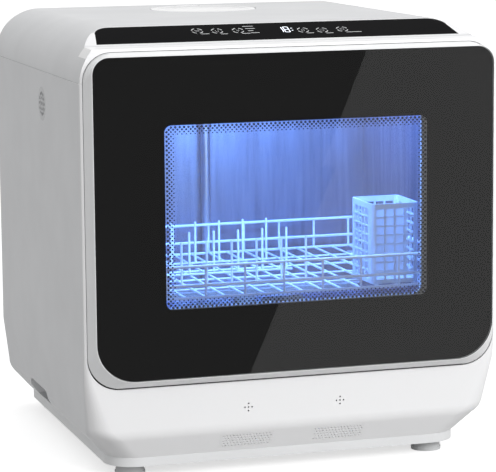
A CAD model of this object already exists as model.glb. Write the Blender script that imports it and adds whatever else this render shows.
import math

import bpy
import numpy as np
from mathutils import Matrix, Vector


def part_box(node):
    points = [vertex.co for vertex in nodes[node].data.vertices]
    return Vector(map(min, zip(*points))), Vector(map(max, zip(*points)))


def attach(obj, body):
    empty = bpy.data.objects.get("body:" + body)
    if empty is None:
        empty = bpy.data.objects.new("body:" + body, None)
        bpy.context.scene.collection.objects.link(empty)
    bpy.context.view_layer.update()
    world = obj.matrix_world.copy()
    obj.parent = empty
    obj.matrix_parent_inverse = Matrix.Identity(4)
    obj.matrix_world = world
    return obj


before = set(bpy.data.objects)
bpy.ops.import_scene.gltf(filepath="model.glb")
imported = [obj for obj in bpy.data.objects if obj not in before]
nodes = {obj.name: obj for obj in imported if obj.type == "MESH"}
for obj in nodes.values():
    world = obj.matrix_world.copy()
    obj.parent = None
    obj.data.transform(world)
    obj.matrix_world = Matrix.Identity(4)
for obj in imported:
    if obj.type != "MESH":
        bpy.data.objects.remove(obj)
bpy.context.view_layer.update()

MM = 0.001


# ---- Camera ----
# A long lens from the front left, a little above the top: the place, turn and
# focal length that lay the door, window and control strip over the photograph.
camera = bpy.data.objects.new("camera", bpy.data.cameras.new("camera"))
bpy.context.scene.collection.objects.link(camera)
camera.location = (-0.74107, -2.43441, 0.59231)
camera.rotation_euler = [math.radians(a) for a in (81.3168, 0.4936, -17.3466)]
camera.data.sensor_width = 36
camera.data.lens = 179.04
camera.data.clip_end = 50
bpy.context.scene.camera = camera


# ---- Cabinet moulding and top cover ----
# Two injection mouldings in light grey ABS: sides, belly and plinth in one, and a
# cover that drops over them. The mould is spark-eroded, so the skin has a fine grain.
def linear(hex_colour):
    """An sRGB hex colour as the linear RGBA that a shader takes."""
    raw = [int(hex_colour[i:i + 2], 16) / 255 for i in (1, 3, 5)]
    return [c / 12.92 if c <= 0.04045 else ((c + 0.055) / 1.055) ** 2.4 for c in raw] + [1]


def add(tree, kind, inputs=None, **settings):
    """One shader node, with its settings, its values and its links."""
    made = tree.nodes.new(kind)
    for name, value in settings.items():
        setattr(made, name, value)
    for name, value in (inputs or {}).items():
        if isinstance(value, bpy.types.NodeSocket):
            tree.links.new(value, made.inputs[name])
        else:
            made.inputs[name].default_value = value
    return made


def new_material(name):
    """An empty node material, its tree and its output."""
    material = bpy.data.materials.new(name)
    material.use_nodes = True
    material.node_tree.nodes.clear()
    tree = material.node_tree
    return material, tree, tree.nodes.new("ShaderNodeOutputMaterial")


def finish_surface(tree, output, shader):
    tree.links.new(shader.outputs[0], output.inputs["Surface"])


def mottled(tree, dark, light, patch_mm, detail=2.0, stretch=(1, 1, 1)):
    """Colour that drifts between two close shades in patches of a real size."""
    place = add(tree, "ShaderNodeTexCoord")
    size = add(tree, "ShaderNodeMapping", {"Vector": place.outputs["Object"], "Scale": stretch})
    cloud = add(tree, "ShaderNodeTexNoise",
                {"Vector": size.outputs[0], "Scale": 1000 / patch_mm, "Detail": detail})
    ramp = add(tree, "ShaderNodeValToRGB", {"Fac": cloud.outputs["Fac"]})
    ramp.color_ramp.elements[0].position = 0.3
    ramp.color_ramp.elements[0].color = linear(dark)
    ramp.color_ramp.elements[1].position = 0.7
    ramp.color_ramp.elements[1].color = linear(light)
    return ramp.outputs["Color"], cloud.outputs["Fac"], size.outputs[0]


def moulded(name, dark, light, roughness, grain_mm, grain_depth_mm, coat=0.0):
    """Moulded plastic: near-even colour, and a bumped grain of a real size."""
    material, tree, output = new_material(name)
    colour, _, at = mottled(tree, dark, light, 60)
    skin = add(tree, "ShaderNodeBsdfPrincipled", {
        "Base Color": colour, "Roughness": roughness, "IOR": 1.53,
        "Coat Weight": coat, "Coat Roughness": 0.08})
    if grain_depth_mm:
        grain = add(tree, "ShaderNodeTexNoise",
                    {"Vector": at, "Scale": 1000 / grain_mm, "Detail": 3})
        bump = add(tree, "ShaderNodeBump", {
            "Height": grain.outputs["Fac"], "Strength": 0.35, "Distance": grain_depth_mm * MM})
        tree.links.new(bump.outputs[0], skin.inputs["Normal"])
    finish_surface(tree, output, skin)
    return material


def skin_of(material):
    """The Principled shader of a material."""
    return next(n for n in material.node_tree.nodes if n.type == "BSDF_PRINCIPLED")


def dress(material, *names, edge=30):
    """Gives carried-over nodes their material, with normals smoothed below an edge angle."""
    for name in names:
        mesh = nodes[name].data
        mesh.materials.clear()
        mesh.materials.append(material)
        if edge:
            soften(mesh, edge)


def soften(mesh, edge):
    """Smooths a mesh whose faces share places but not vertices: only its normals change."""
    faces = len(mesh.polygons)
    normal = np.zeros(faces * 3)
    mesh.polygons.foreach_get("normal", normal)
    normal = normal.reshape(-1, 3)
    area = np.zeros(faces)
    mesh.polygons.foreach_get("area", area)
    corner = np.zeros(len(mesh.loops), int)
    mesh.loops.foreach_get("vertex_index", corner)
    count = np.zeros(faces, int)
    mesh.polygons.foreach_get("loop_total", count)
    face_of = np.repeat(np.arange(faces), count)
    place = np.zeros(len(mesh.vertices) * 3)
    mesh.vertices.foreach_get("co", place)
    _, spot = np.unique(np.round(place.reshape(-1, 3), 6), axis=0, return_inverse=True)
    spot = spot.ravel()[corner]
    order = np.argsort(spot, kind="stable")
    starts = np.flatnonzero(np.r_[True, np.diff(spot[order]) > 0, True])
    limit = math.cos(math.radians(edge))
    result = np.zeros((len(corner), 3))
    for a, b in zip(starts[:-1], starts[1:]):
        own = order[a:b]
        n = normal[face_of[own]]
        near = (n @ n.T) > limit
        total = (near * area[face_of[own]]) @ n
        result[own] = total
    length = np.linalg.norm(result, axis=1, keepdims=True)
    result = np.where(length > 1e-12, result / np.maximum(length, 1e-12), normal[face_of])
    mesh.polygons.foreach_set("use_smooth", np.ones(faces, bool))
    mesh.normals_split_custom_set(result.tolist())


def front_mask(tree, ledge_back_mm):
    """1 on the faces that look forwards and on the ledge before the slope, 0 elsewhere."""
    mask_starts, mask_full, level_from = -0.1, -0.45, 0.5
    facing = add(tree, "ShaderNodeNewGeometry")
    normal = add(tree, "ShaderNodeSeparateXYZ", {0: facing.outputs["Normal"]})
    place = add(tree, "ShaderNodeSeparateXYZ", {0: facing.outputs["Position"]})
    forwards = add(tree, "ShaderNodeMapRange", {
        "Value": normal.outputs["Y"], "From Min": mask_starts, "From Max": mask_full})
    before = add(tree, "ShaderNodeMath", {0: place.outputs["Y"], 1: ledge_back_mm * MM},
                 operation="LESS_THAN")
    upwards = add(tree, "ShaderNodeMath", {0: normal.outputs["Z"], 1: level_from},
                  operation="GREATER_THAN")
    ledge = add(tree, "ShaderNodeMath", {0: before.outputs[0], 1: upwards.outputs[0]},
                operation="MULTIPLY")
    return add(tree, "ShaderNodeMath", {0: forwards.outputs[0], 1: ledge.outputs[0]},
               operation="MAXIMUM").outputs[0]


# The front of both mouldings is lacquered white over the grey.
LEDGE_BACK_MM = -171.5
grained_abs = moulded("ABS light grey, spark-eroded grain", "#CFD0D2", "#D5D6D8",
                      0.42, 0.9, 0.03)
tree = grained_abs.node_tree
skin = skin_of(grained_abs)
grey = skin.inputs["Base Color"].links[0].from_socket
lacquer = add(tree, "ShaderNodeMix", {"Factor": front_mask(tree, LEDGE_BACK_MM)},
              data_type="RGBA")
tree.links.new(grey, lacquer.inputs["A"])
lacquer.inputs["B"].default_value = linear("#F8F8F9")
tree.links.new(lacquer.outputs["Result"], skin.inputs["Base Color"])
dress(grained_abs, "body_shell", "top_cover", "grip_cups")
vent_abs = moulded("ABS mid grey, moulded vent", "#BDBEC0", "#C5C6C8", 0.4, 0.9, 0.03)
dress(vent_abs, "side_vents")
dress(moulded("ABS white, perforated insert", "#F4F4F5", "#F8F8F9", 0.42, 0.9, 0.03),
      "belly_grilles")


def new_piece(name, points, faces, material, body):
    """One new mesh in metres that rides on a body and takes its finish from a slot."""
    mesh = bpy.data.meshes.new(name)
    mesh.from_pydata([tuple(p) for p in points], [], faces)
    mesh.materials.append(material)
    piece = bpy.data.objects.new(name, mesh)
    bpy.context.scene.collection.objects.link(piece)
    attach(piece, body)


BOX_FACES = [(0, 2, 3, 1), (4, 5, 7, 6), (0, 1, 5, 4), (2, 6, 7, 3), (0, 4, 6, 2), (1, 3, 7, 5)]


def lay_box(name, low, high, turn, centre, material):
    """A thin box on the cabinet: corners in millimetres, turned about X round its centre."""
    spin = Matrix.Translation(centre) @ Matrix.Rotation(turn, 4, "X")
    corners = [spin @ (Vector((x, y, z)) * MM) for z in (low[2], high[2])
               for y in (low[1], high[1]) for x in (low[0], high[0])]
    new_piece(name, corners, BOX_FACES, material, "cabinet")


# Black foam stands behind the perforated inserts, and grey foam tape lies in the seam.
black_foam = moulded("Foam, black open cell", "#0C0C0D", "#131314", 0.9, 0.8, 0.2)
grille_low, grille_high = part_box("belly_grilles")
grille_middle = (grille_low + grille_high) / 2
grille_x, belly_turn = 47, math.radians(90 + 32.2)
foam_low, foam_high = (-27, -10, -5.2), (27, 10, -3.4)
for side, name in ((-1, "grille_foam_left"), (1, "grille_foam_right")):
    centre = Vector((side * grille_x * MM, grille_middle.y, grille_middle.z))
    lay_box(name, foam_low, foam_high, belly_turn, centre, black_foam)
tape_grey = moulded("Foam tape, grey", "#6C6D6F", "#77787A", 0.8, 0.8, 0.1)
seam_x, seam_y, seam_z = 209.6, -5, 386.75
tape_low, tape_high = (-0.15, -190, -0.35), (0.15, 175, 0.2)
for side, name in ((-1, "seam_tape_left"), (1, "seam_tape_right")):
    centre = Vector((side * seam_x * MM, seam_y * MM, seam_z * MM))
    lay_box(name, tape_low, tape_high, 0, centre, tape_grey)


# ---- Rear panel, base pan and feet ----
# The back is a sheet of zinc-coated steel, screwed on at its sides, and the base a
# plain polypropylene pan. Four white rubber feet hold the cabinet off the worktop.
def coated_sheet(name, dark, light, roughness, grain_mm, stretch=(1, 1, 1)):
    """Rolled or coated steel sheet, whose grain a stretch draws out one way."""
    material, tree, output = new_material(name)
    colour, fac, _ = mottled(tree, dark, light, grain_mm, 4, stretch)
    rough = add(tree, "ShaderNodeMapRange",
                {"Value": fac, "To Min": roughness * 0.85, "To Max": roughness * 1.15})
    bump = add(tree, "ShaderNodeBump", {"Height": fac, "Strength": 0.08, "Distance": 0.02 * MM})
    skin = add(tree, "ShaderNodeBsdfPrincipled", {
        "Base Color": colour, "Metallic": 1.0, "Roughness": rough.outputs[0],
        "Normal": bump.outputs[0]})
    finish_surface(tree, output, skin)
    return material


zinc_sheet = coated_sheet("Steel sheet, zinc coated", "#B4B6B8", "#C6C8CA", 0.42, 9)
dress(zinc_sheet, "rear_panel")
bright_zinc = coated_sheet("Steel, bright zinc plated", "#A9AAAC", "#C9CACC", 0.28, 2)
dress(bright_zinc, "cover_screws", "lid_hinge_pin", "hinge_brackets", "hinge_pins",
      "hinge_arms", "latch_tongue", "latch_lever")
plain_pp = moulded("Polypropylene, white moulded", "#E4E5E6", "#EAEBEC", 0.45, 1.4, 0.03)
dress(plain_pp, "base_pan", "filler_dish", "filter_cup", "spray_hub", "float_guide",
      "dispenser_cup", "inlet_valve", "rack_rails", "rack_shoes")
black_rubber = moulded("Rubber, black moulded", "#18191A", "#202122", 0.7, 1.2, 0.05)
dress(black_rubber, "cord_gland")
white_rubber = moulded("Rubber, white moulded", "#D2D3D4", "#DADBDC", 0.7, 1.2, 0.05)
dress(white_rubber, "feet")


# ---- Washing tub and its lamp ----
# A deep-drawn box of dull stainless steel behind a dark grey front frame. The lens of
# a blue lamp glows in it; area lamps in the Studio section light the space.
satin_steel = coated_sheet("Stainless steel, satin drawn", "#B9BDC4", "#D2D6DC", 0.3, 5,
                           stretch=(1, 1, 0.06))
dress(satin_steel, "filter_plate", "upper_feed_pipe")
tub_steel = coated_sheet("Stainless steel, deep drawn and dull", "#78839A", "#95A1B8", 0.42, 7,
                         stretch=(1, 1, 0.06))
dress(tub_steel, "tub")
lamp_lens, tree, output = new_material("Polycarbonate lamp lens, blue lit")
glow_colour, _, _ = mottled(tree, "#5B96F5", "#8FC0FF", 20)
lens = add(tree, "ShaderNodeBsdfPrincipled", {
    "Base Color": glow_colour, "Roughness": 0.3, "IOR": 1.58,
    "Emission Color": glow_colour, "Emission Strength": 3.0})
finish_surface(tree, output, lens)
dress(lamp_lens, "cavity_lamp")

glossy_abs = moulded("ABS white, polished mould", "#EBECED", "#F0F1F2", 0.22, 3, 0.01, coat=0.3)
dark_abs = moulded("ABS dark grey, moulded", "#343537", "#3C3D3F", 0.5, 1.0, 0.03)
dress(dark_abs, "front_frame")
seal_rubber = moulded("EPDM rubber, grey extruded", "#6E7072", "#7A7C7E", 0.6, 1.5, 0.04)
dress(seal_rubber, "door_gasket", "window_seal", "water_hoses")


# ---- Spray arms, pumps, heater and blower ----
# Glass-filled polypropylene in grey and black, with cream nylon impellers and a
# drawn steel heater tube under the tub.
grey_pp = moulded("Polypropylene, grey glass-filled", "#8E9194", "#9A9DA0", 0.5, 1, 0.04)
dress(grey_pp, "lower_spray_arm", "upper_spray_arm", "float_cup", "dispenser_flap")
black_pp = moulded("Polypropylene, black glass-filled", "#1E1F21", "#27282A", 0.5, 1, 0.04)
dress(black_pp, "sump", "wash_pump", "drain_pump", "blower_housing", "drain_outlet",
      "latch_body")
cream_nylon = moulded("Nylon, natural cream", "#CFC6A6", "#DAD2B4", 0.45, 1.2, 0.03)
dress(cream_nylon, "pump_impeller", "drain_impeller", "blower_impeller")
dress(coated_sheet("Stainless steel, drawn tube", "#8C8E92", "#A6A8AC", 0.35, 3), "flow_heater")


# ---- Water tank ----
# One blow-moulded tank of natural polypropylene behind the tub: milky, so the water
# level can be seen through its wall.
natural_pp, tree, output = new_material("Polypropylene, natural blow-moulded")
milk, _, _ = mottled(tree, "#D9E2E6", "#E6EDF0", 40)
wall = add(tree, "ShaderNodeBsdfPrincipled", {
    "Base Color": milk, "Roughness": 0.4, "IOR": 1.49,
    "Subsurface Weight": 0.3, "Subsurface Radius": (0.01, 0.01, 0.01)})
finish_surface(tree, output, wall)
dress(natural_pp, "water_tank")


# ---- Door: frame, glass and ceramic print ----
# A white ABS frame with a wide bevel carries a flat pane of tempered glass. Black
# ceramic ink is fired on its back, all but the window, which fades in dots.
dress(glossy_abs, "door_frame", "door_liner", edge=24)


def clear_glass(name, tint):
    material, tree, output = new_material(name)
    colour, _, _ = mottled(tree, tint, tint, 200)
    pane = add(tree, "ShaderNodeBsdfPrincipled", {
        "Base Color": colour, "Roughness": 0.0, "IOR": 1.5, "Transmission Weight": 1.0})
    finish_surface(tree, output, pane)
    return material


dress(clear_glass("Tempered glass, neutral", "#F4F7F8"), "door_glass", "inner_pane", edge=0)
black_enamel = moulded("Ceramic enamel, black fired", "#060607", "#08080A", 0.6, 1, 0)
skin_of(black_enamel).inputs["Specular IOR Level"].default_value = 0.0
dress(black_enamel, "glass_print", edge=0)


print_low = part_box("glass_print")[0]
window = {"half": 132 * MM, "low": 170 * MM, "high": 346 * MM, "round": 7 * MM}
dot_step, dot_edge, dot_band, dot_sides = 2.15 * MM, 0.2 * MM, 9.6 * MM, 10
dot_radius_mm, dot_fade = 1.42, 0.085


def inside_window(x, z):
    """How far a point lies inside the window's rounded edge."""
    middle = (window["low"] + window["high"]) / 2
    half_height = (window["high"] - window["low"]) / 2
    dx = abs(x) - (window["half"] - window["round"])
    dz = abs(z - middle) - (half_height - window["round"])
    if dx > 0 and dz > 0:
        return window["round"] - math.hypot(dx, dz)
    return window["round"] - max(dx, dz)


dot_points, dot_faces = [], []
dot_back, dot_front = print_low.y + 0.15 * MM, print_low.y + 0.01 * MM
columns = round(2 * window["half"] / dot_step)
rows = round((window["high"] - window["low"]) / dot_step)
for i in range(columns + 1):
    for j in range(rows + 1):
        x, z = -window["half"] + i * dot_step, window["low"] + j * dot_step
        depth = inside_window(x, z)
        if (i + j) % 2 or not dot_edge < depth < dot_band:
            continue
        radius = (dot_radius_mm - dot_fade * depth / MM) * MM
        first = len(dot_points)
        for y in (dot_front, dot_back):
            for k in range(dot_sides):
                turn = 2 * math.pi * k / dot_sides
                dot_points.append((x + radius * math.cos(turn), y, z + radius * math.sin(turn)))
        dot_faces.append([first + k for k in range(dot_sides)])
        dot_faces.append([first + dot_sides + k for k in reversed(range(dot_sides))])
        for k in range(dot_sides):
            after = (k + 1) % dot_sides
            dot_faces.append([first + after, first + k, first + dot_sides + k,
                              first + dot_sides + after])
new_piece("print_dots", dot_points, dot_faces, black_enamel, "door")


# ---- Control strip and its marks ----
# Glossy black acrylic let into the slope behind the door. Touch marks are printed
# in light grey on it, and a two-digit figure shows through from the display.
gloss_acrylic, tree, output = new_material("Acrylic, black polished")
ink, _, _ = mottled(tree, "#101011", "#131314", 120)
top_coat = add(tree, "ShaderNodeBsdfPrincipled", {
    "Base Color": ink, "Roughness": 0.22, "IOR": 1.49, "Specular IOR Level": 0.005})
finish_surface(tree, output, top_coat)
dress(gloss_acrylic, "control_strip")
dress(black_pp, "display_block")
dress(moulded("Circuit board, green solder mask", "#1C5A38", "#236844", 0.35, 2, 0.02),
      "control_board")

slope_rise, slope_run = 16.5, 46
slope = math.atan2(slope_rise, slope_run)
slope_origin = Vector((0, -171 * MM, 418.5 * MM))
up_slope = Vector((0, math.cos(slope), math.sin(slope)))
off_slope = Vector((0, -math.sin(slope), math.cos(slope)))
mark_points, mark_faces = [], []
print_top, print_foot = 0.06, 0.005


def on_strip(x, up, lift):
    """A point on the slope, from millimetres across it, up it and off it."""
    return slope_origin + Vector((x * MM, 0, 0)) + up_slope * up * MM + off_slope * lift * MM


def ribbon(points, width, store_points, store_faces):
    """A printed line of a real width along points on the strip, in millimetres."""
    for (x0, y0), (x1, y1) in zip(points[:-1], points[1:]):
        length = math.hypot(x1 - x0, y1 - y0)
        if length == 0:
            continue
        sx, sy = -(y1 - y0) / length * width / 2, (x1 - x0) / length * width / 2
        ex, ey = (x1 - x0) / length * width / 2, (y1 - y0) / length * width / 2
        corners = [(x0 - ex + sx, y0 - ey + sy), (x0 - ex - sx, y0 - ey - sy),
                   (x1 + ex - sx, y1 + ey - sy), (x1 + ex + sx, y1 + ey + sy)]
        f = len(store_points)
        store_points.extend(on_strip(x, y, print_top) for x, y in corners)
        store_points.extend(on_strip(x, y, print_foot) for x, y in corners)
        store_faces.extend([[f, f + 1, f + 2, f + 3], [f + 7, f + 6, f + 5, f + 4]])
        for k in range(4):
            n = (k + 1) % 4
            store_faces.append([f + n, f + k, f + 4 + k, f + 4 + n])


def arc(cx, cy, r, start, end, steps=8):
    """Points along an arc, from its centre, radius and two angles in degrees."""
    return [(cx + r * math.cos(math.radians(start + (end - start) * k / steps)),
             cy + r * math.sin(math.radians(start + (end - start) * k / steps)))
            for k in range(steps + 1)]


# Each touch field is a ring of four dashes round a small sign, with a caption below it.
touch_fields = {
    "bowl": (-78.2, 30.4, 7.5), "glass": (-58.5, 29.0, 6), "fork": (-37.3, 28.7, 7.5),
    "drop": (28.1, 25.2, 6), "fan": (47.3, 23.8, 6.5), "power": (68.4, 24.7, 15),
}
ring_radius, dash_degrees, ring_line, sign_line = 5.4, 46, 0.9, 0.2
caption_in, caption_down, caption_line = 2.5, 7.4, 0.75
for sign, (x, y, caption) in touch_fields.items():
    for start in (22, 112, 202, 292):
        dash = arc(x, y, ring_radius, start, start + dash_degrees, 4)
        ribbon(dash, ring_line, mark_points, mark_faces)
    glyph = {
        "bowl": [arc(x, y + 1, 2.2, 180, 360, 5), [(x - 2.4, y + 1), (x + 2.4, y + 1)]],
        "glass": [[(x - 1.5, y + 2.2), (x - 1, y - 2.2), (x + 1, y - 2.2), (x + 1.5, y + 2.2)]],
        "fork": [[(x, y - 2.4), (x, y + 0.4)],
                 [(x - 1.3, y + 2.4), (x - 1.1, y + 0.4), (x + 1.1, y + 0.4), (x + 1.3, y + 2.4)]],
        "drop": [[(x - 1.6, y), (x, y + 2.6), (x + 1.6, y)], arc(x, y - 0.2, 1.6, 180, 360, 5)],
        "fan": [arc(x, y, 2.2, turn, turn + 100, 4) for turn in (20, 140, 260)],
        "power": [arc(x, y, 2.1, 120, 420), [(x, y + 0.4), (x, y + 2.8)]],
    }[sign]
    for line in glyph:
        ribbon(line, sign_line, mark_points, mark_faces)
    left, foot = x + caption_in, y - caption_down
    ribbon([(left, foot), (left + caption, foot)], caption_line, mark_points, mark_faces)
for left, right, up in ((-30, -20, 38), (-28.5, -19.5, 32.6),
                        (-27, -22.5, 27.4), (-25.5, -17.5, 22.2)):
    ribbon([(left, up), (right, up)], caption_line, mark_points, mark_faces)
strip_ink = moulded("Ink, white screen print", "#E4E5E7", "#ECEDEF", 0.5, 1, 0)
new_piece("touch_marks", mark_points, mark_faces, strip_ink, "cabinet")

# The seven segments of a digit, each from one corner of a 1 by 2 grid to another.
SEGMENTS = {"a": ((0, 2), (1, 2)), "b": ((1, 2), (1, 1)), "c": ((1, 1), (1, 0)),
            "d": ((0, 0), (1, 0)), "e": ((0, 1), (0, 0)), "f": ((0, 2), (0, 1)),
            "g": ((0, 1), (1, 1))}
digit_points, digit_faces = [], []
digit_w, digit_h, digit_foot = 4.6, 6.2, 21.6
segment_trim, segment_line, colon_line = 0.12, 0.9, 1.1
for left, lit in ((3.0, "bc"), (9.6, "abcdefg")):
    for name in lit:
        (x0, y0), (x1, y1) = SEGMENTS[name]
        dx, dy = (x1 - x0) * segment_trim, (y1 - y0) * segment_trim
        ends = [(left + digit_w * (x0 + dx), digit_foot + digit_h * (y0 + dy)),
                (left + digit_w * (x1 - dx), digit_foot + digit_h * (y1 - dy))]
        ribbon(ends, segment_line, digit_points, digit_faces)
for up in (25.5, 30.5):
    ribbon([(17.2, up), (17.7, up)], colon_line, digit_points, digit_faces)
lit_segment, tree, output = new_material("Display segment, white lit")
glow, _, _ = mottled(tree, "#E8F0FF", "#F4F8FF", 3)
segment = add(tree, "ShaderNodeBsdfPrincipled", {
    "Base Color": glow, "Roughness": 0.4, "Emission Color": glow, "Emission Strength": 0.9})
finish_surface(tree, output, segment)
new_piece("display_digits", digit_points, digit_faces, lit_segment, "cabinet")


# ---- Water lid ----
# A round ABS lid with a raised rim, hinged at its back edge over the filling bowl.
dress(glossy_abs, "water_lid", edge=25)


# ---- Dish rack and cutlery basket ----
# Steel wire, welded and dipped in white nylon, with a moulded basket of pale
# plastic hooked into its right side.
nylon_dip = moulded("Nylon powder coat, white", "#F2F4F6", "#F8F9FA", 0.3, 2, 0.02, coat=0.2)
dress(nylon_dip, "dish_rack", "rack_floor", "plate_tines", edge=50)
pale_pp = moulded("Polypropylene, pale blue-grey", "#CBD6E4", "#D6E0EC", 0.35, 1.5, 0.02)
dress(pale_pp, "cutlery_basket", edge=40)


# ---- Studio ----
# A pale floor that fades into a white surround, one broad soft lamp in front and
# another above, and the tub's own blue lamps.
def white_to_camera(name, colour, bounce_colour, camera_boost, card_level):
    """A diffuse surface, near white to the camera and an even card in reflections."""
    material, tree, output = new_material(name)
    path = add(tree, "ShaderNodeLightPath")
    shade = add(tree, "ShaderNodeMix", {"Factor": path.outputs["Is Diffuse Ray"]},
                data_type="RGBA")
    shade.inputs["A"].default_value = linear(colour)
    shade.inputs["B"].default_value = linear(bounce_colour)
    matt = add(tree, "ShaderNodeBsdfDiffuse", {"Color": shade.outputs["Result"]})
    strength = add(tree, "ShaderNodeMath", {0: path.outputs["Is Camera Ray"], 1: camera_boost},
                   operation="MULTIPLY")
    lit = add(tree, "ShaderNodeEmission", {"Color": (1, 1, 1, 1), "Strength": strength.outputs[0]})
    both = add(tree, "ShaderNodeAddShader", {0: matt.outputs[0], 1: lit.outputs[0]})
    card = add(tree, "ShaderNodeEmission", {"Strength": card_level})
    seen = add(tree, "ShaderNodeMixShader",
               {0: path.outputs["Is Glossy Ray"], 1: both.outputs[0], 2: card.outputs[0]})
    finish_surface(tree, output, seen)
    return material


def stage_plane(name, corners, material):
    """One flat face of the studio, which is no piece of the part."""
    mesh = bpy.data.meshes.new(name)
    mesh.from_pydata(corners, [], [list(range(len(corners)))])
    mesh.materials.append(material)
    plane = bpy.data.objects.new(name, mesh)
    bpy.context.scene.collection.objects.link(plane)
    return plane


floor_size = 12
stage_plane("floor", [(-floor_size, -floor_size, 0), (floor_size, -floor_size, 0),
                      (floor_size, floor_size, 0), (-floor_size, floor_size, 0)],
            white_to_camera("Studio floor, white paper", "#E6E6E6", "#A0A0A0", 0.62, 0.95))

# Dark flags that only reflections see: they give the glass its dark left part.
flag_black, tree, output = new_material("Studio flag, black felt")
felt_colour, _, _ = mottled(tree, "#040404", "#060606", 30)
felt = add(tree, "ShaderNodeBsdfDiffuse", {"Color": felt_colour})
flag_haze = 0.34
haze = add(tree, "ShaderNodeEmission", {"Strength": flag_haze})
lit_felt = add(tree, "ShaderNodeAddShader", {0: felt.outputs[0], 1: haze.outputs[0]})
finish_surface(tree, output, lit_felt)
flag_shapes = {
    "flag_floor": [(-3.0, -0.45, 0.002), (0.0, -0.45, 0.002),
                   (0.838, -2.494, 0.002), (-3.0, -2.494, 0.002)],
    "flag_wall": [(-3.0, -2.5, 0.0), (0.81, -2.5, 0.0), (1.6, -2.5, 1.9), (-3.0, -2.5, 1.9)],
}
for name, corners in flag_shapes.items():
    flag = stage_plane(name, corners, flag_black)
    for kind in ("camera", "diffuse", "shadow", "transmission", "volume_scatter"):
        setattr(flag, "visible_" + kind, False)

# The surround is white to the camera, and dimmer as a light on the object.
surround_light, surround_seen = 0.64, 1.0
world = bpy.data.worlds.new("studio")
bpy.context.scene.world = world
world.use_nodes = True
sky = world.node_tree
sky.nodes.clear()
world_output = sky.nodes.new("ShaderNodeOutputWorld")
path = add(sky, "ShaderNodeLightPath")
seen = add(sky, "ShaderNodeMath",
           {0: path.outputs["Is Camera Ray"], 1: path.outputs["Is Glossy Ray"]},
           operation="MAXIMUM")
seen = add(sky, "ShaderNodeMath", {0: seen.outputs[0], 1: path.outputs["Is Transmission Ray"]},
           operation="MAXIMUM")
level = add(sky, "ShaderNodeMapRange", {
    "Value": seen.outputs[0], "To Min": surround_light, "To Max": surround_seen})
surround = add(sky, "ShaderNodeBackground",
               {"Color": (1, 1, 1, 1), "Strength": level.outputs[0]})
sky.links.new(surround.outputs[0], world_output.inputs["Surface"])


def soft_lamp(name, place, aim, size, power, colour=(1, 1, 1)):
    """A rectangular lamp in metres and watts that the camera doesn't see."""
    lamp = bpy.data.lights.new(name, "AREA")
    lamp.shape = "RECTANGLE"
    lamp.size, lamp.size_y = size
    lamp.energy = power
    lamp.color = colour
    stand = bpy.data.objects.new(name, lamp)
    stand.location = place
    stand.rotation_euler = (Vector(aim) - Vector(place)).to_track_quat("-Z", "Y").to_euler()
    stand.visible_camera = False
    stand.visible_transmission = False
    bpy.context.scene.collection.objects.link(stand)
    return stand


for lamp in (soft_lamp("front_lamp", (0.9, -2.6, 1.3), (0, -0.2, 0.2), (1.6, 1.2), 46),
             soft_lamp("top_lamp", (0.2, -0.2, 2.4), (0, 0, 0.4), (1.8, 1.8), 9)):
    lamp.visible_glossy = False

# Two blue lamps under the tub's roof stand in for the light of the lamp lens.
tub_low, tub_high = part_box("tub")
deep_blue, pale_blue = (0.05, 0.2, 1.0), (0.2, 0.42, 1.0)
soft_lamp("tub_lamp", (0, tub_low.y + 0.02, tub_high.z - 0.012),
          (0, tub_high.y, tub_low.z + 0.06), (0.3, 0.02), 2.8, pale_blue)
soft_lamp("tub_lamp_back", (0, tub_high.y - 0.05, tub_high.z - 0.01),
          (0, tub_high.y - 0.08, tub_low.z), (0.3, 0.05), 0.8, deep_blue)

view = bpy.context.scene.view_settings
view.view_transform = "Standard"
